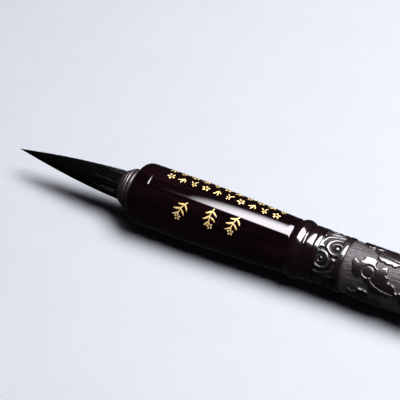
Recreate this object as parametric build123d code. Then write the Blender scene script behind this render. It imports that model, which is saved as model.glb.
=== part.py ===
from build123d import *
import math
import os

# A calligraphy brush lying on its side: the tuft points to -X, the tail to +X and +Z is up.
# Every piece but the cord eyelet is turned about one long axis, so each is drawn as a half
# section, (distance from the tuft's tip, radius), and revolved.
# The origin is under the middle of the brush, on the surface it lies on. Millimetres.

# ---- overall sizes ----
barrel_radius = 9.5         # thickest part of the handle; the brush lies on it
barrel_length = 51.85
tuft_length = 37.0          # hair in front of the nose
hair_radius = 4.5           # hair at the nose's rim
shaft_radius = 8.15
shaft_length = 125.3        # the carved length

# ---- turned pieces along the handle ----
nose_length = 4.6
bead_width = 4.3
bead_bulge = 0.7            # how far the bead's middle stands above its edges
wide_ring_width = 2.6
narrow_ring_width = 1.7
collar_length = 8.05
collar_rim_width = 1.5      # the collar's plain rim beside the shaft
joint_groove = 0.6          # dark groove between a collar and the shaft
joint_groove_depth = 0.5
edge_round = 0.3            # rounded edges that draw the line between two pieces
finial_length = 15.6
finial_radius = 7.0

# ---- inner fits ----
glue_gap = 0.05             # radial gap round every glued spigot and tenon
front_tenon_radius = 5.0
front_tenon_depth = 12.0    # how far it enters the barrel
rear_tenon_radius = 4.5
rear_tenon_depth = 4.7      # how far it enters the finial
end_gap = 0.3               # room left at the bottom of a blind bore
spigot_length = 12.4        # the nose's spigot inside the barrel
spigot_wall = 1.1           # its wall round the hair
hair_root_length = 14.0     # hair held inside the nose
binding_width = 3.0
binding_thickness = 0.5
seal_thickness = 2.0        # resin button behind the hair
hair_fit = 0.05             # gap round each layer of hair

# ---- the tuft's bend ----
core_ratio = 0.6            # radius of the stiff core over the tuft's radius
mantle_tip = 4.0            # where the outer layer ends, short of the point
bend_from_rim = 6.0         # the bend's centre, in front of the nose's rim
bend_cup_set_back = 2.6     # the cup's mouth behind that centre, so the point can swing
bend_gap = 0.3              # gap between the rounded root of the point and its cup
tip_radius = 0.12

# ---- the cord eyelet through the finial ----
eye_from_finial_front = 9.2
eye_bore_radius = 1.25
eye_wall = 0.5
eye_flange_radius = 2.3
eye_flange = 0.45
eye_half_length = 6.05

# ---- places along the axis, from the tuft's tip ----
rim = tuft_length
bend = rim - bend_from_rim
barrel_front = rim + nose_length
barrel_rear = barrel_front + barrel_length
bead_rear = barrel_rear + bead_width
wide_rear = bead_rear + wide_ring_width
narrow_rear = wide_rear + narrow_ring_width
collar_rear = narrow_rear + collar_length
shaft_front = collar_rear + joint_groove
shaft_rear = shaft_front + shaft_length
tail_collar_front = shaft_rear + joint_groove
tail_narrow_front = tail_collar_front + collar_length
tail_wide_front = tail_narrow_front + narrow_ring_width
tail_bead_front = tail_wide_front + wide_ring_width
finial_front = tail_bead_front + bead_width
total_length = finial_front + finial_length

front_bore = front_tenon_radius + glue_gap
rear_bore = rear_tenon_radius + glue_gap
spigot_radius = hair_radius + hair_fit + spigot_wall
ring_radius = shaft_radius
place = Pos(-total_length / 2, 0, barrel_radius)


def turn(*points):
    """A solid turned from a closed half section of straight lines."""
    return revolve(Plane.XZ * make_face(Polyline(*points, close=True)), Axis.X)


def turn_edges(edges):
    """A solid turned from a closed half section of any edges."""
    return revolve(Plane.XZ * make_face(edges), Axis.X)


def tube(start, end, outer, inner):
    return turn((start, inner), (end, inner), (end, outer), (start, outer))


def rod(start, end, radius):
    return turn((start, 0), (end, 0), (end, radius), (start, radius))


def outer_edges(solid, radius):
    """The circular edges that lie on a cylinder of this radius about the axis."""
    return [e for e in solid.edges().filter_by(GeomType.CIRCLE) if abs(e.radius - radius) < 1e-4]


def rounded_ring(start, end, outer, inner):
    ring = tube(start, end, outer, inner)
    return fillet(outer_edges(ring, outer), edge_round)


def bead(start, end, edge_radius, bulge, inner):
    """A ring whose outside is one convex arc between two short flats."""
    flat = edge_round
    low = edge_radius - edge_round
    middle = (start + end) / 2
    return turn_edges([
        Line((start, inner), (end, inner)),
        Line((end, inner), (end, low)),
        Line((end, low), (end - flat, edge_radius)),
        ThreePointArc((end - flat, edge_radius), (middle, edge_radius + bulge),
                      (start + flat, edge_radius)),
        Line((start + flat, edge_radius), (start, low)),
        Line((start, low), (start, inner)),
    ])


def collar(field_start, rim_start, rim_end, inner):
    """The carved collar: a plain rim beside the shaft and a field cut slightly below it."""
    step = 0.1
    low = ring_radius - edge_round
    turn_in = edge_round if rim_end > field_start else -edge_round
    return turn((field_start, inner), (rim_end, inner), (rim_end, low),
                (rim_end - turn_in, ring_radius), (rim_start, ring_radius),
                (rim_start, ring_radius - step), (field_start + turn_in, ring_radius - step),
                (field_start, low - step))


def tuft_radius(s):
    """The tuft's radius: a long cone that fills out smoothly to the rim."""
    return max(tip_radius, hair_radius * (1 - (1 - s / tuft_length) ** 1.5))


def tuft_section(start, end, ratio=1.0, gap=0.0, steps=14):
    """Points along the tuft's side, or along an inner layer of it."""
    places = [start + (end - start) * i / steps for i in range(steps + 1)]
    return [(s, max(tip_radius, tuft_radius(s) * ratio) + gap) for s in places]


# ---- hair: a stiff core and a softer mantle round it, each in two lengths ----
# The root lengths stay with the handle. The point lengths swing about the bend's centre,
# on a rounded root that sits in a cup with a clear gap.
ball_radius = tuft_radius(bend)
cup_radius = ball_radius + bend_gap
cup_mouth = bend + bend_cup_set_back
core_radius = ball_radius * core_ratio
mantle_bore = core_radius + hair_fit
hair_rear = rim + hair_root_length
binding_front = hair_rear - binding_width
bound_radius = hair_radius - binding_thickness - hair_fit


def on_ball(radius, height):
    """The place on the rear half of a ball about the bend's centre at this height."""
    return (bend + math.sqrt(radius ** 2 - height ** 2), height)


def ball_arc(radius, height_1, height_2):
    middle = (math.asin(height_1 / radius) + math.asin(height_2 / radius)) / 2
    return ThreePointArc(on_ball(radius, height_1), on_ball(radius, radius * math.sin(middle)),
                         on_ball(radius, height_2))


hair_core_point = turn_edges([
    Polyline((0, 0), *tuft_section(0, bend, core_ratio)),
    Line((bend, core_radius), on_ball(ball_radius, core_radius)),
    ball_arc(ball_radius, core_radius, 0),
    Line(on_ball(ball_radius, 0), (0, 0)),
])
hair_mantle_point = turn_edges([
    Polyline(*tuft_section(mantle_tip, bend)),
    ball_arc(ball_radius, ball_radius, mantle_bore),
    Line(on_ball(ball_radius, mantle_bore), (bend, mantle_bore)),
    Polyline(*reversed(tuft_section(mantle_tip, bend, core_ratio, hair_fit))),
    Line(tuft_section(mantle_tip, bend, core_ratio, hair_fit)[0], tuft_section(mantle_tip, bend)[0]),
])
hair_core_root = turn_edges([
    Line(on_ball(cup_radius, 0), (hair_rear, 0)),
    Line((hair_rear, 0), (hair_rear, core_radius)),
    Line((hair_rear, core_radius), on_ball(cup_radius, core_radius)),
    ball_arc(cup_radius, core_radius, 0),
])
mouth_height = math.sqrt(cup_radius ** 2 - bend_cup_set_back ** 2)
hair_mantle_root = turn_edges([
    Polyline((cup_mouth, mouth_height), *tuft_section(cup_mouth, rim, steps=5),
             (binding_front, hair_radius), (binding_front, bound_radius),
             (hair_rear, bound_radius), (hair_rear, mantle_bore),
             on_ball(cup_radius, mantle_bore)),
    ball_arc(cup_radius, mantle_bore, mouth_height),
])

# ---- the thread wound round the root of the hair, and the resin button that seals it ----
binding_thread = tube(binding_front, hair_rear, hair_radius, hair_radius - binding_thickness)
root_seal = rod(hair_rear, hair_rear + seal_thickness, hair_radius)

# ---- nose: flared lip, groove, small ring and groove, then a spigot into the barrel ----
nose_bore = hair_radius + hair_fit
lip = hair_radius + 0.4
flare = hair_radius + 1.7
ring_top = flare + 0.05
groove_floor = flare - 0.35
nose_ferrule = turn(
    (rim, nose_bore), (rim, lip - 0.1), (rim + 0.1, lip), (rim + 1.9, flare - 0.05),
    (rim + 2.25, flare), (rim + 2.75, flare), (rim + 3.0, groove_floor + 0.1),
    (rim + 3.1, groove_floor), (rim + 3.25, groove_floor + 0.1), (rim + 3.45, ring_top - 0.1),
    (rim + 3.6, ring_top), (rim + 3.95, ring_top), (rim + 4.1, ring_top - 0.1),
    (rim + 4.3, groove_floor), (barrel_front, groove_floor),
    (barrel_front, spigot_radius), (barrel_front + spigot_length, spigot_radius),
    (barrel_front + spigot_length, nose_bore))

# ---- barrel: round shoulder, straight belly, then a long taper to the rings ----
barrel_face = hair_radius + 1.8
shoulder = 3.0
belly_end = barrel_front + 0.36 * barrel_length
barrel_edge = ring_radius + 0.1
front_socket = barrel_front + spigot_length + end_gap
rear_socket = barrel_rear - front_tenon_depth - end_gap
side = Spline((belly_end, barrel_radius),
              (belly_end + 0.45 * (barrel_rear - belly_end),
               barrel_radius - 0.47 * (barrel_radius - barrel_edge)),
              (barrel_rear - edge_round, barrel_edge),
              tangents=[(1, 0), (1, -0.02)])
head_barrel = turn_edges([
    Line((barrel_front, 0), (barrel_front, barrel_face)),
    EllipticalCenterArc((barrel_front + shoulder, barrel_face), shoulder,
                        barrel_radius - barrel_face, start_angle=90, arc_size=90),
    Line((barrel_front + shoulder, barrel_radius), (belly_end, barrel_radius)),
    side,
    Line((barrel_rear - edge_round, barrel_edge), (barrel_rear, barrel_edge - edge_round)),
    Line((barrel_rear, barrel_edge - edge_round), (barrel_rear, 0)),
    Line((barrel_rear, 0), (barrel_front, 0)),
])
head_barrel -= rod(barrel_front - 1, front_socket, spigot_radius + glue_gap)
head_barrel -= rod(rear_socket, barrel_rear + 1, front_bore)

# ---- the rings and the carved collar, threaded on the shaft's front tenon ----
bead_ring = bead(barrel_rear, bead_rear, ring_radius, bead_bulge, front_bore)
wide_ring = rounded_ring(bead_rear, wide_rear, ring_radius, front_bore)
narrow_ring = rounded_ring(wide_rear, narrow_rear, ring_radius, front_bore)
carved_collar = collar(narrow_rear, collar_rear - collar_rim_width, collar_rear, front_bore)

# ---- shaft: the carved grip with a neck and a tenon at each end ----
neck_radius = shaft_radius - joint_groove_depth
shaft = turn(
    (barrel_rear - front_tenon_depth, 0), (barrel_rear - front_tenon_depth, front_tenon_radius),
    (collar_rear, front_tenon_radius), (collar_rear, neck_radius), (shaft_front, neck_radius),
    (shaft_front, shaft_radius - 0.2), (shaft_front + 0.2, shaft_radius),
    (shaft_rear - 0.2, shaft_radius), (shaft_rear, shaft_radius - 0.2),
    (shaft_rear, neck_radius), (tail_collar_front, neck_radius),
    (tail_collar_front, rear_tenon_radius), (finial_front + rear_tenon_depth, rear_tenon_radius),
    (finial_front + rear_tenon_depth, 0))

# ---- the tail: the same collar and rings in mirror order, with a bead as wide as the barrel,
# so that the brush lies level on its barrel and its tail bead ----
tail_collar = collar(tail_narrow_front, tail_collar_front + collar_rim_width,
                     tail_collar_front, rear_bore)
tail_narrow_ring = rounded_ring(tail_narrow_front, tail_wide_front, ring_radius, rear_bore)
tail_wide_ring = rounded_ring(tail_wide_front, tail_bead_front, ring_radius, rear_bore)
tail_bead_ring = bead(tail_bead_front, finial_front, ring_radius,
                      barrel_radius - ring_radius, rear_bore)

# ---- finial: a small flange and a bulb, bored across for the hanging cord ----
flange = finial_radius + 0.4
waist = finial_radius - 0.8
finial_end = finial_front + finial_length
bulb = Spline((finial_front + 2.0, waist), (finial_front + 0.37 * finial_length, finial_radius),
              (finial_front + 0.62 * finial_length, 0.9 * finial_radius),
              (finial_front + 0.86 * finial_length, 0.55 * finial_radius),
              (finial_end, 0), tangents=[(1, 0.15), (0, -1)])
tail_finial = turn_edges([
    Line((finial_front, 0), (finial_front, flange - edge_round)),
    Line((finial_front, flange - edge_round), (finial_front + edge_round, flange)),
    Line((finial_front + edge_round, flange), (finial_front + 1.2, flange)),
    Line((finial_front + 1.2, flange), (finial_front + 2.0, waist)),
    bulb,
    Line((finial_end, 0), (finial_front, 0)),
])
tail_finial -= rod(finial_front - 1, finial_front + rear_tenon_depth + end_gap, rear_bore)

eye = finial_front + eye_from_finial_front
eye_tube = eye_bore_radius + eye_wall
seat = eye_half_length - eye_flange


def across(start, end, outer, inner=0.0):
    """A cylinder or tube along Y at the eyelet's place."""
    bar = Cylinder(outer, end - start, align=(Align.CENTER, Align.CENTER, Align.MIN))
    if inner:
        bar -= Cylinder(inner, end - start, align=(Align.CENTER, Align.CENTER, Align.MIN))
    return Pos(eye, start, 0) * Rot(-90, 0, 0) * bar


far = finial_radius + 5
tail_finial -= across(-far, far, eye_tube + glue_gap)
for side_start, side_end in ((-far, -seat), (seat, far)):
    tail_finial -= across(side_start, side_end, eye_flange_radius + glue_gap)

# ---- eyelet: a brass tube with one flange, and the washer its other end is closed over ----
cord_eyelet = across(-eye_half_length, eye_half_length, eye_tube, eye_bore_radius)
cord_eyelet += across(-eye_half_length, -seat, eye_flange_radius, eye_bore_radius)
eyelet_washer = across(seat, eye_half_length, eye_flange_radius, eye_tube + glue_gap)

pieces = {
    "hair_core_point": hair_core_point,
    "hair_mantle_point": hair_mantle_point,
    "hair_core_root": hair_core_root,
    "hair_mantle_root": hair_mantle_root,
    "binding_thread": binding_thread,
    "root_seal": root_seal,
    "nose_ferrule": nose_ferrule,
    "head_barrel": head_barrel,
    "bead_ring": bead_ring,
    "wide_ring": wide_ring,
    "narrow_ring": narrow_ring,
    "carved_collar": carved_collar,
    "shaft": shaft,
    "tail_collar": tail_collar,
    "tail_narrow_ring": tail_narrow_ring,
    "tail_wide_ring": tail_wide_ring,
    "tail_bead_ring": tail_bead_ring,
    "tail_finial": tail_finial,
    "cord_eyelet": cord_eyelet,
    "eyelet_washer": eyelet_washer,
}

os.makedirs("parts", exist_ok=True)
for name, piece in pieces.items():
    export_step(place * piece, f"parts/{name}.step")
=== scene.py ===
# A calligraphy brush lying on a pale table: a pointed tuft of black hair, a stepped nose, a thick
# lacquered barrel with gold ornament, turned rings, and a long carved handle with a bored tail knob.
import math
import random

import bmesh
import bpy
import numpy as np
from mathutils import Matrix, Vector


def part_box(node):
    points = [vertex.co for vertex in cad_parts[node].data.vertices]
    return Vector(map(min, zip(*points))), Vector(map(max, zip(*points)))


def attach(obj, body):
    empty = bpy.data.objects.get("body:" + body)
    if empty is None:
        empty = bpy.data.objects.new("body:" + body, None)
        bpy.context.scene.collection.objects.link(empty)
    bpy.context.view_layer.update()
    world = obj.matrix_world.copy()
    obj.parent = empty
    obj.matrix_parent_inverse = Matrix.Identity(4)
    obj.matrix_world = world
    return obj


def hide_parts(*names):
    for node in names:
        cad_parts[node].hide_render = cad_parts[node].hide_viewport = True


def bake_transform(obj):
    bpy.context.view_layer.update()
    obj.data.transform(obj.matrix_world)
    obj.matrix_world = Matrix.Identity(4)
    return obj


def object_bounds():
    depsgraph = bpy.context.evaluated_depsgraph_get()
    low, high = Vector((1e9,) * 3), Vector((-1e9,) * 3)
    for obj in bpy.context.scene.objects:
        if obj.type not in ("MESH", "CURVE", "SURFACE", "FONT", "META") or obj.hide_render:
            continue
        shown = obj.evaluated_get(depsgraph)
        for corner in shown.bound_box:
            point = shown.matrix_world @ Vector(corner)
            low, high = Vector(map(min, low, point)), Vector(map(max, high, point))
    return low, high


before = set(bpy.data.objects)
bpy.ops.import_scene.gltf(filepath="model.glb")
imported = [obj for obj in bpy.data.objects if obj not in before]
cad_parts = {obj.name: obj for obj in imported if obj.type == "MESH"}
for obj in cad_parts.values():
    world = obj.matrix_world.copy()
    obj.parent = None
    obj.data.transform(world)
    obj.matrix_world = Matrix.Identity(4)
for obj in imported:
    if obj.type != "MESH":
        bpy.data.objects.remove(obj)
cad_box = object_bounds()


# ---- Camera ----
# It looks down on the head of the brush from the front right, through a long lens, so that the tuft
# points to the upper left and the carved handle leaves on the right.
mm = 0.001
barrel_low, barrel_high = (Vector(corner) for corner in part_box("head_barrel"))
axis_height = (barrel_low.z + barrel_high.z) / 2
barrel_radius = (barrel_high.z - barrel_low.z) / 2

camera_azimuth = math.radians(27.5)
camera_elevation = math.radians(42.9)
camera_distance = 0.443
aim_offset = Vector((-6.1, 2.3, 2.8)) * mm
aim = Vector(((barrel_low.x + barrel_high.x) / 2, 0, axis_height)) + aim_offset
toward_camera = Vector((math.sin(camera_azimuth) * math.cos(camera_elevation),
                        -math.cos(camera_azimuth) * math.cos(camera_elevation),
                        math.sin(camera_elevation)))
lens = bpy.data.cameras.new("camera")
lens.lens = 135
lens.clip_start = 0.01
camera = bpy.data.objects.new("camera", lens)
bpy.context.collection.objects.link(camera)
camera.location = aim + toward_camera * camera_distance
camera.rotation_euler = toward_camera.to_track_quat("Z", "Y").to_euler()
bpy.context.scene.camera = camera


# ---- Table ----
# A wide sheet of pale, faintly blue, fine-grained board that the brush lies on. It isn't part of the
# brush. Its finish is the first one made, so the way that finishes are written is set up here.
class Wire:
    """One output of a node in a finish; sums and products of wires are written as Python."""

    def __init__(self, finish, socket):
        self.finish = finish
        self.socket = socket

    def maths(self, operation, first, second):
        return self.finish.node("Math", {"operation": operation}, {0: first, 1: second})

    def __add__(self, other):
        return self.maths("ADD", self, other)

    def __sub__(self, other):
        return self.maths("SUBTRACT", self, other)

    def __rsub__(self, other):
        return self.maths("SUBTRACT", other, self)

    def __mul__(self, other):
        return self.maths("MULTIPLY", self, other)

    __radd__ = __add__
    __rmul__ = __mul__


class Finish:
    """A material under construction, or the glow of a lamp when one is given."""

    def __init__(self, name, lamp=None):
        self.material = lamp or bpy.data.materials.new(name)
        self.material.use_nodes = True
        self.tree = self.material.node_tree
        self.shader = self.tree.nodes["Emission" if lamp else "Principled BSDF"]

    def node(self, kind, settings=None, inputs=None, output=0):
        """Adds a node: its settings first, then the values or wires of its sockets."""
        made = self.tree.nodes.new("ShaderNode" + kind)
        for key, value in (settings or {}).items():
            setattr(made, key, value)
        for key, value in (inputs or {}).items():
            self.feed(self.socket(made.inputs, key), value)
        return Wire(self, self.socket(made.outputs, output))

    def socket(self, sockets, key):
        """A socket by its number, its identifier or its name."""
        if isinstance(key, int):
            return sockets[key]
        return next((s for s in sockets if s.identifier == key), None) or sockets[key]

    def feed(self, socket, value):
        if isinstance(value, Wire):
            self.tree.links.new(value.socket, socket)
        else:
            socket.default_value = value

    def surface(self, values):
        """Sets the shader's own sockets."""
        for key, value in values.items():
            self.feed(self.shader.inputs[key], value)
        return self.material

    def place(self, scale=(1, 1, 1)):
        """Object coordinates in millimetres, stretched by scale."""
        stretch = tuple(s / mm for s in scale)
        return self.node("Mapping", None, {
            "Vector": self.node("TexCoord", None, None, "Object"), "Scale": stretch})

    def noise(self, scale, detail=3, stretch=(1, 1, 1), roughness=0.55):
        """Noise with this many features to the millimetre."""
        return self.node("TexNoise", None, {"Vector": self.place(stretch), "Scale": scale,
                                            "Detail": detail, "Roughness": roughness})

    def blend(self, factor, first, second):
        """A colour between first and second."""
        return self.node("Mix", {"data_type": "RGBA"}, {
            "Factor_Float": factor, "A_Color": first, "B_Color": second}, "Result_Color")

    def rise(self, value, low, high):
        """0 below low, 1 above high and smooth between them."""
        return self.node("MapRange", {"interpolation_type": "SMOOTHSTEP"}, {
            "Value": value, "From Min": low, "From Max": high})

    def bump(self, height, distance, strength=1.0):
        return self.node("Bump", None, {"Height": height, "Distance": distance,
                                        "Strength": strength})


def rgb(red, green, blue):
    return (red, green, blue, 1)


def mesh_object(name, mesh, smooth_below=35, reshape=None):
    """Makes an object of a finished bmesh, smooth except across corners sharper than the angle.
    A reshape is a function that moves the corners, given as rows of coordinates."""
    data = bpy.data.meshes.new(name)
    mesh.to_mesh(data)
    mesh.free()
    if reshape:
        corners = np.empty(len(data.vertices) * 3, dtype=np.float32)
        data.vertices.foreach_get("co", corners)
        data.vertices.foreach_set("co", reshape(corners.reshape(-1, 3)).astype(np.float32).ravel())
        data.update()
    data.polygons.foreach_set("use_smooth", [True] * len(data.polygons))
    data.set_sharp_from_angle(angle=math.radians(smooth_below))
    made = bpy.data.objects.new(name, data)
    bpy.context.collection.objects.link(made)
    return made


def board_finish():
    board = Finish("pale_board")
    grain = board.noise(1.6, 5, roughness=0.7)
    mottle = board.noise(0.05, 2)
    base = board.blend(mottle, rgb(0.315, 0.328, 0.362), rgb(0.335, 0.348, 0.376))
    speck = board.rise(board.noise(2.2, 3, roughness=0.8), 0.38, 0.66)
    colour = board.blend(speck * 0.30, base, rgb(0.26, 0.265, 0.28))
    return board.surface({"Base Color": colour, "Roughness": 0.75, "Specular IOR Level": 0.2,
                          "Normal": board.bump(grain, 0.16 * mm, 1.0)})


table_size, table_clearance = 1.6, 0.02
table_mesh = bmesh.new()
bmesh.ops.create_grid(table_mesh, x_segments=1, y_segments=1, size=table_size)
bmesh.ops.translate(table_mesh, verts=table_mesh.verts,
                    vec=(0, 0, cad_box[0][2] - table_clearance * mm))
table = mesh_object("table", table_mesh)
table.data.materials.append(board_finish())


# ---- Light ----
# A broad even light nearly overhead lights the table and the dull surfaces. A soft box that fades
# towards its edges draws the long bright band along the barrel, and the room itself is dark.
def soft_light(name, place, target, width, height, power, colour):
    """A rectangular lamp at a place, facing a target."""
    lamp = bpy.data.lights.new(name, "AREA")
    lamp.shape = "RECTANGLE"
    lamp.size, lamp.size_y = width, height
    lamp.energy = power
    lamp.color = colour
    made = bpy.data.objects.new(name, lamp)
    bpy.context.collection.objects.link(made)
    made.location = place
    made.rotation_euler = (Vector(place) - Vector(target)).to_track_quat("Z", "Y").to_euler()
    return made


def soft_edges(lamp, left, right, front, back):
    """Makes a lamp fade towards its edges, over these shares of its width and depth."""
    glow = Finish("glow", lamp.data)
    across = glow.node("NewGeometry", None, None, "Parametric")
    u = glow.node("SeparateXYZ", None, {"Vector": across}, "X")
    v = glow.node("SeparateXYZ", None, {"Vector": across}, "Y")
    glow.surface({"Strength": glow.rise(u, 0.0, left) * glow.rise(1 - u, 0.0, right)
                  * glow.rise(v, 0.0, front) * glow.rise(1 - v, 0.0, back)})


diffuser = soft_light("overhead_light", place=(0.16, 0.12, 0.65), target=(0.04, 0.02, 0),
                      width=0.50, height=0.34, power=14.8, colour=(0.985, 0.985, 1.0))
diffuser.visible_glossy = False
soft_box_turn = math.radians(-9)
shine = soft_light("soft_box", place=(0.083, 0.174, 0.60), target=(0.083, 0.174, 0),
                   width=0.684, height=0.62, power=31, colour=(0.975, 0.945, 1.0))
shine.rotation_euler = (0, 0, soft_box_turn)
shine.visible_diffuse = False
soft_edges(shine, left=0.14, right=0.05, front=0.05, back=0.14)
table.visible_glossy = False

room = bpy.data.worlds.new("room")
room.use_nodes = True
walls = room.node_tree.nodes["Background"].inputs
walls["Color"].default_value = rgb(0.80, 0.86, 1.0)
walls["Strength"].default_value = 0.018
bpy.context.scene.world = room
bpy.context.scene.view_settings.view_transform = "Standard"


def turned(name, node, outline, steps=160, closed=True, relief=None, bent=False):
    """A piece turned on the lathe: an outline of (distance behind the node's front, radius), in
    millimetres, spun about the brush's axis. An open outline starts and ends on the axis. A relief
    is a function of distance and angle that says how far the surface is cut away. A closely carved
    piece is bent round from a fine flat sheet instead, which comes to the same shape sooner."""
    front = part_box(node)[0][0]
    mesh = bmesh.new()
    if closed:
        outline = [*outline, outline[0]]
    if bent:
        last = len(outline) - 1
        bmesh.ops.create_grid(mesh, x_segments=last, y_segments=steps, size=1)
        for corner in mesh.verts:
            s, r = outline[round((corner.co.x + 1) / 2 * last)]
            way = math.pi * (corner.co.y + 1)
            corner.co = (s * mm, r * mm * math.sin(way), r * mm * math.cos(way))
    else:
        corners = [mesh.verts.new((s * mm, 0, r * mm)) for s, r in outline]
        for first, second in zip(corners, corners[1:]):
            mesh.edges.new((first, second))
        bmesh.ops.spin(mesh, geom=mesh.verts[:] + mesh.edges[:], axis=(1, 0, 0),
                       cent=(0, 0, 0), angle=2 * math.pi, steps=steps, use_merge=True)
    bmesh.ops.remove_doubles(mesh, verts=mesh.verts, dist=0.1e-6)
    bmesh.ops.recalc_face_normals(mesh, faces=mesh.faces)

    def cut_and_place(corners):
        if relief:
            radius = np.hypot(corners[:, 1], corners[:, 2]) / mm
            angle = np.arctan2(-corners[:, 1], corners[:, 2])
            cut = relief(corners[:, 0] / mm, angle, radius)
            corners[:, 1:] *= (1 - cut / np.maximum(radius, 0.01))[:, None]
        return corners + np.array((front, 0, axis_height))

    made = mesh_object(name, mesh, reshape=cut_and_place)
    return made


def laid_hairs(name, hairs, thickness):
    """Thin round hairs, each a list of (distance behind the point, angle, radius, taper)."""
    strands = bpy.data.curves.new(name, "CURVE")
    strands.dimensions = "3D"
    strands.bevel_depth = thickness * mm
    strands.bevel_resolution = 0
    strands.use_fill_caps = True
    for hair in hairs:
        spline = strands.splines.new("POLY")
        spline.points.add(len(hair) - 1)
        for point, (s, angle, radius, fine) in zip(spline.points, hair):
            point.co = (tip + s * mm, -radius * mm * math.sin(angle),
                        axis_height + radius * mm * math.cos(angle), 1)
            point.radius = fine
    drawn = bpy.data.objects.new(name + "_drawn", strands)
    bpy.context.collection.objects.link(drawn)
    mesh = bmesh.new()
    mesh.from_mesh(bpy.data.meshes.new_from_object(drawn))
    bpy.data.objects.remove(drawn)
    bmesh.ops.remove_doubles(mesh, verts=mesh.verts, dist=0.1e-6)
    made = mesh_object(name, mesh, smooth_below=100)
    return made


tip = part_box("hair_core_point")[0][0]
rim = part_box("nose_ferrule")[0][0]
hair_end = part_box("hair_mantle_root")[1][0]
visible_hair = (rim - tip) / mm
hair_depth = (hair_end - tip) / mm
root_radius, bound_radius = 4.42, 3.98
bound_from = (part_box("binding_thread")[0][0] - tip) / mm - 0.05


def tuft_radius(s):
    """The radius of the hair at s millimetres behind its point."""
    return max(0.09, root_radius * (1 - max(0.0, 1 - s / visible_hair) ** 1.5))


def clump(angle, s):
    """How deep the surface lies below the outermost hairs, as a share of the radius."""
    waves = ((11, 0.9, 0.02, 0.007), (19, 2.3, -0.03, 0.010), (31, 4.4, 0.02, 0.010),
             (47, 1.2, 0.01, 0.008))
    return sum(size * (1 + np.sin(count * angle + start + turn * s))
               for count, start, turn, size in waves)


hair_stations = [0, 0.3, 0.8, 1.5] + [2.5 + 1.25 * i for i in range(28)]
tuft = turned("tuft", "hair_core_point", [
    (0, 0), *[(s, tuft_radius(s)) for s in hair_stations],
    (visible_hair + 1, root_radius), (bound_from, root_radius), (bound_from + 0.05, bound_radius),
    (hair_depth, bound_radius), (hair_depth, 0)],
    steps=144, closed=False, relief=lambda s, angle, radius: radius * clump(angle, s))
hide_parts("hair_core_point", "hair_mantle_point", "hair_core_root", "hair_mantle_root")

chance = random.Random(7)
hair_count, hair_steps, hair_thickness = 300, 12, 0.055
hairs = []
for number in range(hair_count):
    angle = chance.uniform(0, 2 * math.pi)
    lean = chance.gauss(0, 0.05)
    reach = chance.choice((chance.uniform(0.2, 4), chance.uniform(2, 12), chance.uniform(8, 26)))
    lift = chance.uniform(-0.03, 0.05)
    hair = []
    for step in range(hair_steps + 1):
        share = step / hair_steps
        s = visible_hair + 2 - (visible_hair + 2 - reach) * share
        wave = 0.012 * math.sin(0.5 * s + number)
        hair.append((s, angle + lean * share + wave,
                     max(0.04, tuft_radius(s) * 0.985 + lift * min(1, s / 10)),
                     1 - 0.55 * share ** 2))
    hairs.append(hair)
laid = laid_hairs("laid_hairs", hairs, hair_thickness)

stray_count, stray_steps, stray_thickness = 16, 16, 0.05
stray = []
for number in range(stray_count):
    angle = math.radians(chance.uniform(-80, 100))
    start = visible_hair + 1 - chance.uniform(0, 3)
    length = chance.uniform(3.5, 9)
    turns, phase = chance.uniform(1.5, 3.2), chance.uniform(0, 6)
    curl = chance.uniform(0.15, 0.45) * 1.2
    hair = []
    for step in range(stray_steps + 1):
        share = step / stray_steps
        s = start - length * share
        swing = curl * share * math.sin(phase + turns * 2 * math.pi * share)
        hair.append((s, angle + swing / tuft_radius(s), tuft_radius(s) + 0.05 + 0.10 * share,
                     1 - 0.5 * share))
    stray.append(hair)
stray_hairs = laid_hairs("stray_hairs", stray, stray_thickness)


def hair_finish(name, dark, light, sheen):
    """Fine lengthwise strands in two close tones with a soft sheen."""
    hair = Finish(name)
    strand = hair.noise(2.6, 4, stretch=(0.035, 1, 1), roughness=0.6)
    colour = hair.blend(hair.rise(strand, 0.42, 0.66), rgb(*dark), rgb(*light))
    return hair.surface({"Base Color": colour, "Roughness": 0.50 + (strand - 0.5) * 0.3,
                         "Specular IOR Level": sheen,
                         "Normal": hair.bump(strand, 0.03 * mm)})


black_hair = hair_finish("black_hair", (0.0002, 0.0003, 0.0005), (0.0011, 0.0013, 0.0020), 0.04)
tuft.data.materials.append(black_hair)
laid.data.materials.append(black_hair)
stray_hairs.data.materials.append(
    hair_finish("stray_hair", (0.020, 0.019, 0.021), (0.075, 0.070, 0.072), 0.3))
for piece in (tuft, laid, stray_hairs):
    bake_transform(piece)


# ---- Binding and seal ----
# Six turns of waxed thread hold the root of the hair together inside the nose, and a plug of dark
# resin seals the cut ends behind it.

def arc(centre, middle, along, across, start, end, steps):
    """Points on an elliptical arc of an outline, the angles in degrees from the +X direction."""
    angles = [math.radians(start + (end - start) * i / steps) for i in range(steps + 1)]
    return [(centre + along * math.cos(a), middle + across * math.sin(a)) for a in angles]


binding_low, binding_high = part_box("binding_thread")
thread_turns = 6
thread = (binding_high[0] - binding_low[0]) / mm / thread_turns / 2
binding_radius = (binding_high[2] - binding_low[2]) / 2 / mm
binding_bore, thread_depth = binding_radius - 0.5, 0.3
binding = turned("binding", "binding_thread", [
    (0, binding_bore),
    *[point for turn in range(thread_turns)
      for point in arc((2 * turn + 1) * thread, binding_radius - thread_depth, thread,
                       thread_depth, 170, 10, 7)],
    (2 * thread_turns * thread, binding_bore)], steps=96)
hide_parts("binding_thread")
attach(binding, "handle")
waxed = Finish("waxed_thread")
twist = waxed.noise(6, 3, stretch=(1, 0.4, 0.4))
binding.data.materials.append(waxed.surface({
    "Base Color": waxed.blend(twist, rgb(0.16, 0.10, 0.05), rgb(0.42, 0.30, 0.17)),
    "Roughness": 0.6, "Normal": waxed.bump(twist, 0.05 * mm)}))

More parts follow.
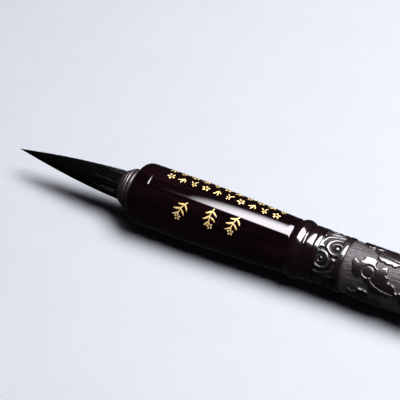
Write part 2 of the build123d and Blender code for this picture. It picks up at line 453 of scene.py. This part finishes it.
resin = Finish("dark_resin")
clouds = resin.noise(1.0, 4)
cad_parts["root_seal"].material_slots[0].material = resin.surface({
    "Base Color": resin.blend(clouds, rgb(0.05, 0.02, 0.008), rgb(0.12, 0.05, 0.02)),
    "Roughness": 0.2 + clouds * 0.15, "Coat Weight": 0.5})


# ---- Nose ----
# A short dark wooden ferrule, turned with a flared lip and two ridges between narrow grooves. Its
# bore holds the hair and its spigot is glued into the barrel.
def worn_wood_finish(name, tint, roughness, coat):
    """Near-black close-grained wood with red-brown pores, rubbed smoother or duller in random
    patches.
    """
    wood = Finish(name)
    grain = wood.noise(1.2, 6, stretch=(0.10, 1, 1), roughness=0.62)
    rubbed = wood.noise(0.9, 4)
    dark = rgb(*(c * 0.45 for c in tint))
    colour = wood.blend(wood.rise(grain, 0.38, 0.68), dark, rgb(*tint))
    return wood.surface({
        "Base Color": colour, "Roughness": roughness + (rubbed - 0.5) * 0.22,
        "Specular IOR Level": 0.55, "Coat Weight": coat, "Coat Roughness": 0.06,
        "Normal": wood.bump(grain, 0.006 * mm)})


nose_bore, spigot_radius, spigot_end = 4.55, 5.65, 17
groove_floor, ridge_foot = 5.30, 5.80
nose = turned("nose", "nose_ferrule", [
    (0, nose_bore), (0, 4.80), (0.04, 4.87), (0.12, 4.92), (1.62, 5.84), (1.70, ridge_foot),
    (1.76, groove_floor), (1.94, groove_floor), (2.00, ridge_foot),
    *arc(2.43, 5.92, 0.43, 0.30, 165, 15, 8), (2.86, ridge_foot),
    (2.92, groove_floor), (3.14, groove_floor), (3.20, ridge_foot),
    *arc(3.63, 5.94, 0.43, 0.28, 165, 15, 8), (4.06, ridge_foot),
    (4.12, groove_floor), (4.34, groove_floor), (4.40, ridge_foot), (4.60, 5.84),
    (4.60, spigot_radius), (spigot_end, spigot_radius), (spigot_end, nose_bore)])
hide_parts("nose_ferrule")
nose.data.materials.append(worn_wood_finish("nose_wood", (0.026, 0.014, 0.018), 0.46, 0.30))
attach(nose, "handle")


# ---- Barrel ----
# One thick piece of dark red-brown hardwood, turned with a round shoulder, one fine raised line, a
# straight belly and a long taper, then lacquered and polished like glass. The nose and the handle's
# tenon are glued into it.
barrel_length = (barrel_high.x - barrel_low.x) / mm
shoulder = 3.0
belly_end = 0.36 * barrel_length
gold_height = 0.045
barrel_wide = barrel_radius / mm - gold_height
face_radius, rear_radius = 6.3, 8.25
line_start, line_width = shoulder + 2.0, 1.2
nose_socket, nose_socket_radius = 12.7, 5.70
tenon_socket, tenon_socket_radius = 39.55, 5.05
needle_bore = 0.02


def taper(t):
    """The barrel's radius on its taper, t from 0 at the belly to 1 at the rear."""
    return barrel_wide - (barrel_wide - rear_radius) * (1.25 * t ** 1.5 - 0.25 * t ** 4)


def barrel_surface(s):
    """The barrel's radius s millimetres behind its front, from the shoulder back."""
    return taper(max(0.0, (s - belly_end) / (barrel_length - belly_end)))


def lacquer_finish():
    """Dark red-brown heartwood under clear gloss lacquer."""
    lacquer = Finish("lacquered_wood")
    pores = lacquer.noise(1.6, 7, stretch=(0.06, 1, 1), roughness=0.65)
    figure = lacquer.noise(0.30, 3, stretch=(0.12, 1, 1))
    heart = lacquer.blend(lacquer.rise(figure, 0.35, 0.7), rgb(0.0022, 0.0007, 0.0011),
                          rgb(0.0090, 0.0022, 0.0030))
    colour = lacquer.blend(lacquer.rise(pores, 0.46, 0.72), heart, rgb(0.0012, 0.0007, 0.0008))
    dust = lacquer.noise(2.5, 2)
    return lacquer.surface({
        "Base Color": colour, "Roughness": 0.30 + (pores - 0.5) * 0.2, "Specular IOR Level": 0.0,
        "Coat Weight": 1.0, "Coat Roughness": 0.035, "Coat IOR": 1.5,
        "Normal": lacquer.bump(dust, 0.001 * mm)})


line_steps, taper_steps = 12, 26
taper_end = barrel_length - 0.8
taper_places = [belly_end + (taper_end - belly_end) * i / taper_steps for i in range(taper_steps + 1)]
barrel = turned("barrel", "head_barrel", [
    (0, nose_socket_radius), (0, face_radius),
    *arc(shoulder, face_radius, shoulder, barrel_wide - face_radius, 180, 90, 18),
    *[(line_start + line_width * i / line_steps,
       barrel_wide + gold_height * math.sin(math.pi * i / line_steps) ** 2)
      for i in range(line_steps + 1)],
    *[(s, barrel_surface(s)) for s in taper_places],
    *arc(barrel_length - 0.7, rear_radius - 0.65, 0.7, 0.65, 80, 0, 7),
    (barrel_length, tenon_socket_radius), (tenon_socket, tenon_socket_radius),
    (tenon_socket, needle_bore), (nose_socket, needle_bore), (nose_socket, nose_socket_radius)],
    steps=192)
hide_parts("head_barrel")
lacquer = lacquer_finish()
barrel.data.materials.append(lacquer)
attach(barrel, "handle")


# ---- Rings ----
# A bead, a wide ring and a narrow ring of the same dark wood, polished and threaded on the handle's
# tenon, and the same three again at the tail. Their rounded edges draw dark lines between them.
def flat_ring(name, node, bore, crown):
    """A plain ring with rounded edges, its outside slightly crowned."""
    low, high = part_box(node)
    width, outer, edge = (high[0] - low[0]) / mm, (high[2] - low[2]) / 2 / mm, 0.26
    ring = turned(name, node, [
        (0, bore), *arc(edge, outer - edge - crown, edge, edge, 180, 90, 5),
        *[(edge + (width - 2 * edge) * i / 6, outer - crown + crown * math.sin(math.pi * i / 6))
          for i in range(1, 6)],
        *arc(width - edge, outer - edge - crown, edge, edge, 90, 0, 5), (width, bore)])
    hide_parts(node)
    return ring


def bead(name, node, bore, edge_radius, steps=18):
    """A ring whose outside is one round swelling."""
    low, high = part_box(node)
    width, crest, edge = (high[0] - low[0]) / mm, (high[2] - low[2]) / 2 / mm, 0.30
    swell = crest - edge_radius
    ring = turned(name, node, [
        (0, bore), (0, edge_radius - edge), (0.08, edge_radius - 0.08), (edge, edge_radius),
        *[(edge + (width - 2 * edge) * i / steps,
           edge_radius + swell * math.sin(math.pi * i / steps) ** 0.85)
          for i in range(1, steps)],
        (width - edge, edge_radius), (width - 0.08, edge_radius - 0.08),
        (width, edge_radius - edge), (width, bore)])
    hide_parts(node)
    return ring


ring_wood = worn_wood_finish("ring_wood", (0.0080, 0.0028, 0.0036), 0.16, 0.9)
handle_radius = (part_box("wide_ring")[1][2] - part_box("wide_ring")[0][2]) / 2 / mm
front_bore, rear_bore = 5.05, 4.55
for ring in (bead("bead", "bead_ring", front_bore, handle_radius - 0.02),
             flat_ring("wide_band", "wide_ring", front_bore, 0.05),
             flat_ring("narrow_band", "narrow_ring", front_bore, 0.03),
             bead("tail_bead", "tail_bead_ring", rear_bore, handle_radius - 0.02),
             flat_ring("tail_wide_band", "tail_wide_ring", rear_bore, 0.05),
             flat_ring("tail_narrow_band", "tail_narrow_ring", rear_bore, 0.03)):
    ring.data.materials.append(ring_wood)
    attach(ring, "handle")


# ---- Gold ornament ----
# Cut into the lacquer of the barrel and filled with gold: three flowering sprigs one behind another,
# and two fine bands of small leaves and blossoms beside them. Each stroke is a thin strip, sunk in
# the barrel and standing a little proud of it.
barrel_front = barrel_low.x


def barrel_point(s, angle, lift):
    """A point above the barrel's skin, s millimetres behind its front."""
    radius = (barrel_surface(s) + lift) * mm
    return Vector((barrel_front + s * mm, -radius * math.sin(angle),
                   axis_height + radius * math.cos(angle)))


gold_mesh = bmesh.new()
gold_depth = 0.08


def gold_stroke(s, angle, turn, size, path, widths, pieces=8):
    """One tapered strip. Its path is three points of a motif that is size millimetres tall, turned
    about its own middle at (s, angle), and its widths are those at start, middle and end."""
    grid = bmesh.ops.create_grid(gold_mesh, x_segments=pieces, y_segments=2, size=1)["verts"]
    start, middle, end = (Vector(point) for point in path)
    for corner in grid:
        t, side = (corner.co.x + 1) / 2, corner.co.y
        place = start * (1 - t) ** 2 + middle * 2 * t * (1 - t) + end * t ** 2
        along = ((middle - start) * (1 - t) + (end - middle) * t).normalized()
        width = widths[0] * (1 - t) ** 2 + widths[1] * 2 * t * (1 - t) + widths[2] * t ** 2
        place = place + Vector((-along.y, along.x)) * side * width / 2
        place = Matrix.Rotation(turn, 2) @ (place * size)
        crown = gold_height * (1 - 0.85 * side * side)
        corner.co = barrel_point(s + place.x, angle + place.y / barrel_surface(s), crown)


def leaf(s, angle, turn, size, root, point, width):
    """A stroke that bends a little and swells in its middle."""
    bend = Vector((point[1] - root[1], root[0] - point[0])) * 0.18
    middle = (Vector(root) + Vector(point)) / 2 + bend
    gold_stroke(s, angle, turn, size, (root, middle, point), (0.01, 2 * width, 0.01))


def blossom(s, angle, turn, size, centre, radius, petals=5):
    """Short broad petals round an open middle."""
    for petal in range(petals):
        way = 2 * math.pi * petal / petals + 0.3
        out = Vector((math.cos(way), math.sin(way)))
        gold_stroke(s, angle, turn, size,
                    (Vector(centre) + out * radius * 0.28, Vector(centre) + out * radius * 0.8,
                     Vector(centre) + out * radius), (0.03, radius * 0.85, 0.05), 5)


def sprig(s, angle, turn, size):
    """A bent stem with broad leaves that point forward, and an open blossom at its end."""
    gold_stroke(s, angle, turn, size, ((-0.52, -0.12), (-0.05, 0.12), (0.34, -0.04)),
                (0.05, 0.07, 0.03), 12)
    for root, point, width in (((-0.40, -0.05), (-0.20, 0.30), 0.085),
                               ((-0.34, -0.03), (-0.10, -0.34), 0.085),
                               ((-0.12, 0.03), (0.12, 0.38), 0.095),
                               ((-0.04, 0.02), (0.18, -0.32), 0.085),
                               ((0.14, 0.01), (0.42, 0.28), 0.080)):
        leaf(s, angle, turn, size, root, point, width)
    blossom(s, angle, turn, size, (0.42, -0.06), 0.17)


sprig_size, flower_size = 5.6, 2.8
round_the_barrel = math.pi / 2
# each sprig's distance behind the barrel's front, its angle from the top and its own turn
sprig_places = ((18.3, 49.0, 0.30), (27.6, 45.6, -0.10), (34.8, 42.8, 0.20))
for s, degrees, turn in sprig_places:
    sprig(s, math.radians(degrees), round_the_barrel + turn, sprig_size)

# each band's angle from the top, its first and last place, and its number of motifs
bands = ((-8.5, 10.9, 45.1, 10), (-33, 10.0, 45.9, 11))
for row, (degrees, first, last, count) in enumerate(bands):
    angle = math.radians(degrees)
    for number in range(count):
        s = first + (last - first) * number / (count - 1)
        turn = round_the_barrel + (0.25 if number % 2 else -0.25)
        motif = (number + row) % 3
        if motif == 0:
            blossom(s, angle, turn, flower_size, (0, 0), 0.44)
        elif motif == 1:
            for point in ((0.46, 0.0), (0.26, 0.42), (0.26, -0.42)):
                leaf(s, angle, turn, flower_size, (-0.34, 0), point, 0.13)
        else:
            blossom(s, angle, turn, flower_size, (0.18, 0), 0.27, petals=4)
            for side in (1, -1):
                leaf(s, angle, turn, flower_size, (-0.08, 0.06 * side), (-0.48, 0.34 * side), 0.12)
bmesh.ops.reverse_faces(gold_mesh, faces=gold_mesh.faces)
bmesh.ops.solidify(gold_mesh, geom=gold_mesh.faces[:], thickness=gold_depth * mm)
ornament = mesh_object("gold_ornament", gold_mesh)
gold = Finish("gold_fill")
worn = gold.noise(3.5, 4)
ornament.data.materials.append(gold.surface({
    "Base Color": gold.blend(gold.rise(worn, 0.35, 0.7), rgb(0.72, 0.46, 0.14),
                             rgb(1.0, 0.80, 0.40)),
    "Metallic": 0.35, "Roughness": 0.42, "Normal": gold.bump(worn, 0.02 * mm)}))
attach(ornament, "handle")


# ---- Carved collars ----
# A broad ring at each end of the handle, cut with curling scrolls round raised beads, with a plain
# polished rim on the handle's side. The same cutter's work is repeated four times round.
collar_radius = 8.05
field_start, field_end, field_steps = 0.25, 6.35, 60
groove_depth, bead_depth, gap_depth = 0.55, 0.45, 0.70
scroll_pitch, scroll_repeats = 1.9, 4
# each scroll's distance behind the collar's front, its angle, its bead's radius and its hand
scrolls = ((5.15, 17, 0.85, 1), (1.75, 47, 0.6, -1))


def scroll_relief(s, angle, radius):
    """How deep the cutter goes, for places on a front collar."""
    weight = np.full_like(s, 1e-9)
    groove = np.zeros_like(s)
    bead_lift = np.zeros_like(s)
    bead_gap = np.zeros_like(s)
    for along, degrees, eye, hand in scrolls:
        for repeat in range(scroll_repeats):
            round_by = angle - math.radians(degrees + 360 / scroll_repeats * repeat)
            across = (np.remainder(round_by + math.pi, 2 * math.pi) - math.pi) * collar_radius
            distance = np.hypot(s - along, across)
            winding = np.arctan2(across, s - along) * hand / (2 * math.pi)
            share = np.exp(-distance / 0.7)
            wave = 0.5 + 0.5 * np.cos(2 * math.pi * ((distance - eye) / scroll_pitch - winding))
            groove += share * wave
            weight += share
            bead_lift = np.maximum(bead_lift, np.sqrt(np.clip(1 - (distance / eye) ** 2, 0, 1)))
            bead_gap = np.maximum(bead_gap, np.exp(-((distance - eye - 0.12) / 0.16) ** 2))
    cut = groove_depth * (groove / weight) ** 2.6
    cut = np.where(bead_lift > 0, bead_depth * (1 - bead_lift), cut)
    cut = np.maximum(cut, gap_depth * bead_gap)
    ends = np.clip(np.minimum(s - field_start, field_end - s) / 0.2, 0, 1)
    on_field = (np.abs(radius - collar_radius) < 0.02) & (ends > 0)
    return np.where(on_field, cut * ends, 0)


def collar(name, node, bore, flipped):
    """A carved collar with its plain rim at the rear, or at the front if it is flipped."""
    length = (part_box(node)[1][0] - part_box(node)[0][0]) / mm
    rim_radius = collar_radius + 0.09
    field = [(field_start + (field_end - field_start) * i / field_steps, collar_radius)
             for i in range(field_steps + 1)]
    outline = [(0, bore), (0, 7.82), (0.06, 7.95), (0.16, collar_radius), *field,
               (6.40, 7.98), (6.44, 7.72), (6.56, 7.70), (6.60, 7.90),
               *arc(6.86, rim_radius - 0.24, 0.24, 0.24, 175, 90, 4),
               *arc(length - 0.26, rim_radius - 0.26, 0.26, 0.26, 90, 0, 5), (length, bore)]
    if flipped:
        outline = [(length - s, r) for s, r in outline]
    made = turned(name, node, outline, steps=400, bent=True, relief=lambda s, angle, radius:
                  scroll_relief(length - s if flipped else s, angle, radius))
    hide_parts(node)
    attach(made, "handle")
    return made


def carved_finish(name, top, ground_tint):
    """Dark wood that is polished on top and left dull and grey where the cutter has been."""
    carved = Finish(name)
    axis = carved.node("Mapping", None, {
        "Vector": carved.node("TexCoord", None, None, "Object"), "Scale": (0, 1 / mm, 1 / mm),
        "Location": (0, 0, -axis_height / mm)})
    radius = carved.node("VectorMath", {"operation": "LENGTH"}, {0: axis}, "Value")
    polish = carved.rise(radius, top - 0.22, top - 0.03)
    dust = carved.noise(2.2, 5, stretch=(0.22, 1, 1), roughness=0.7)
    grain = carved.noise(1.4, 5, stretch=(0.07, 1, 1), roughness=0.62)
    ground = carved.blend(carved.rise(dust, 0.30, 0.70), rgb(*(c * 0.45 for c in ground_tint)),
                          rgb(*ground_tint))
    wood = carved.blend(carved.rise(grain, 0.4, 0.7), rgb(0.0022, 0.0014, 0.0017),
                        rgb(0.010, 0.0055, 0.0058))
    return carved.surface({
        "Base Color": carved.blend(polish, ground, wood),
        "Roughness": 0.50 - polish * 0.15 + (dust - 0.5) * 0.2, "Specular IOR Level": 0.28,
        "Coat Weight": polish, "Coat Roughness": 0.06, "Coat IOR": 1.5,
        "Normal": carved.bump(dust, 0.03 * mm)})


collar_wood = carved_finish("collar_wood", collar_radius, (0.018, 0.014, 0.016))
for made in (collar("carved_ring", "carved_collar", front_bore, False),
             collar("tail_carved_ring", "tail_collar", rear_bore, True)):
    made.data.materials.append(collar_wood)


# ---- Handle ----
# One long rod of dark wood. Islands of lobed cloud are left standing and polished, with curls cut
# into them, and the ground between is cut back and left dull with lengthwise tool marks. It is
# modelled in three lengths that meet at plain cuts.
handle_low, handle_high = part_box("shaft")
handle_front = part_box("carved_collar")[1][0]
handle_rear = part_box("tail_collar")[0][0]
handle_length = (handle_rear - handle_front) / mm
ground_depth, edge_width = 0.55, 0.36
cut_line_depth, cut_line_width = 0.32, 0.19
# one cloud, as round lobes that run together and round bites out of it, each (along, across, radius)
cloud_lobes = ((-4.3, 1.2, 0.9), (-4.7, 2.1, 0.5), (-2.7, -0.3, 2.0), (-1.5, 2.6, 1.7),
               (0.0, 2.4, 1.9), (0.3, 0.2, 2.4), (1.9, -1.7, 2.6), (3.8, 1.2, 1.4),
               (4.4, 2.4, 0.6), (4.8, -1.8, 2.2), (6.9, -3.2, 1.9), (8.9, -4.3, 1.0),
               (2.8, -4.0, 1.8), (4.6, -4.6, 1.4), (6.6, -4.7, 1.2))
cloud_inlets = ((-3.2, 3.4, 0.95), (2.3, 2.8, 1.0), (2.3, 4.2, 0.9), (0.0, -4.5, 1.2),
                (5.6, -6.9, 1.0), (7.0, -0.5, 0.9))
lobe_sharpness = 5
curl_radius = 1.7
sweep_start, sweep_bend, sweep_end = (0.95, -1.45), (2.2, -4.2), (8.4, -4.2)
sweep_steps = 8
sweep_line = [tuple(a * (1 - t) ** 2 + b * 2 * t * (1 - t) + c * t * t
                    for a, b, c in zip(sweep_start, sweep_bend, sweep_end))
              for t in (i / sweep_steps for i in range(sweep_steps + 1))]
cloud_rows, clouds_round, cloud_spacing, first_cloud = 8, 5, 15.0, 7.9
first_turn = 40
cloud_reach_along, cloud_reach_round = 11, 9
far = 9.0
# the lengthwise tool marks, each (how many round the handle, its drift, its start)
tool_marks = ((61, 0.31, 0.2), (83, -0.23, 1.9), (97, 0.17, 4.0), (37, 0.41, 2.2))


def cloud_relief(s, angle, radius):
    """How deep the ground and the cut lines lie, for s millimetres behind the handle's shoulder."""
    edge = np.full_like(s, far)
    line = np.full_like(s, far)
    for row in range(cloud_rows):
        for repeat in range(clouds_round):
            number = row * clouds_round + repeat
            turn = angle - math.radians(first_turn + 360 / clouds_round * (repeat + row / 2))
            around = (np.remainder(turn + math.pi, 2 * math.pi) - math.pi) * handle_radius
            along = s - first_cloud - cloud_spacing * row
            near = np.flatnonzero((np.abs(along) < cloud_reach_along)
                                  & (np.abs(around) < cloud_reach_round))
            lean = 0.10 * math.sin(2.1 * number)
            x = along[near] * math.cos(lean) + around[near] * math.sin(lean)
            y = along[near] * math.sin(lean) - around[near] * math.cos(lean)
            body = sum(np.exp(-lobe_sharpness * (np.hypot(x - u, y - v) - r))
                       for u, v, r in cloud_lobes)
            shape = -np.log(body) / lobe_sharpness
            for u, v, r in cloud_inlets:
                shape = np.maximum(shape, r - np.hypot(x - u, y - v))
            edge[near] = np.minimum(edge[near], shape)
            curl = np.abs(np.hypot(x, y) - curl_radius)
            for (u, v), (next_u, next_v) in zip(sweep_line, sweep_line[1:]):
                run, rise = next_u - u, next_v - v
                t = np.clip(((x - u) * run + (y - v) * rise) / (run ** 2 + rise ** 2), 0, 1)
                curl = np.minimum(curl, np.hypot(x - u - t * run, y - v - t * rise))
            line[near] = np.minimum(line[near], np.where(shape < -0.2, curl, far))
    deepening = np.clip((s - 1) / 4, 0, 1) * np.clip((handle_length - 1 - s) / 4, 0, 1)
    fall = np.clip(0.5 + edge / edge_width, 0, 1)
    fall = fall * fall * (3 - 2 * fall)
    marks = sum(np.sin(count * angle + drift * s + start) for count, drift, start in tool_marks)
    chips = np.sin(1.9 * s + 3 * np.sin(7 * angle)) * np.sin(23 * angle + 2 * np.sin(0.8 * s))
    cut = fall * (ground_depth * (0.7 + 0.3 * deepening) + 0.018 * marks + 0.03 * chips)
    cut = np.maximum(cut, cut_line_depth * np.exp(-(line / cut_line_width) ** 2) * (1 - fall))
    return np.where(np.abs(radius - handle_radius) < 0.02, cut, 0)


def handle_part(name, outline):
    """One length of the handle, from an outline measured from the carved collar's rear face."""
    shift = (handle_front - handle_low[0]) / mm
    made = turned(name, "shaft", [(s + shift, r) for s, r in outline], steps=320, closed=False,
                  bent=True, relief=lambda s, angle, radius: cloud_relief(s - shift, angle, radius))
    made.data.materials.append(handle_wood)
    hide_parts("shaft")
    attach(made, "handle")
    return made


def skin(start, end):
    """The handle's outside between two distances, in steps fine enough for the carving."""
    count = round((end - start) / fineness)
    return [(start + (end - start) * i / count, handle_radius) for i in range(count + 1)]


handle_wood = carved_finish("handle_wood", handle_radius, (0.042, 0.035, 0.038))
front_tenon, rear_tenon = (handle_low[0] - handle_front) / mm, (handle_high[0] - handle_front) / mm
neck, gap, fineness = 7.42, 0.6, 0.14
first_cut, second_cut = handle_length / 3, handle_length * 2 / 3
handle_part("handle_front", [
    (front_tenon, 0), (front_tenon, 4.7), (front_tenon + 0.3, 5.0), (0, 5.0), (0, neck),
    (gap - 0.02, neck), *skin(gap, first_cut), (first_cut, 0)])
handle_part("handle_middle", [
    (first_cut, 0), *skin(first_cut, second_cut), (second_cut, 0)])
handle_part("handle_rear", [
    (second_cut, 0), *skin(second_cut, handle_length - gap),
    (handle_length - gap + 0.02, neck), (handle_length, neck), (handle_length, 4.5),
    (rear_tenon - 0.3, 4.5), (rear_tenon, 4.2), (rear_tenon, 0)])


# ---- Tail knob ----
# A turned knob of dark wood closes the handle: a flange, a waist and a swelling drawn in to a small
# round end. It is bored across, close to its end, for the hanging cord.
def polished_copy(name, node, finish):
    """The node's own shape with its triangles joined, so that it shades as one polished surface."""
    mesh = bmesh.new()
    mesh.from_mesh(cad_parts[node].data)
    bmesh.ops.remove_doubles(mesh, verts=mesh.verts, dist=1e-6)
    made = mesh_object(name, mesh, smooth_below=28)
    made.data.materials.append(finish)
    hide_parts(node)
    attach(made, "handle")
    return made


polished_copy("tail_knob", "tail_finial", ring_wood)


# ---- Cord eyelet ----
# A small brass tube through the bore of the knob, flared at one end and riveted over a washer at the
# other, so that the hanging cord doesn't wear the wood.
brass = Finish("eyelet_brass")
tarnish = brass.noise(1.5, 5)
brass_finish = brass.surface({
    "Base Color": brass.blend(brass.rise(tarnish, 0.4, 0.7), rgb(0.72, 0.50, 0.20),
                              rgb(0.36, 0.23, 0.10)),
    "Metallic": 1.0, "Roughness": 0.22 + tarnish * 0.25, "Normal": brass.bump(tarnish, 0.02 * mm)})
polished_copy("eyelet", "cord_eyelet", brass_finish)
polished_copy("washer", "eyelet_washer", brass_finish)
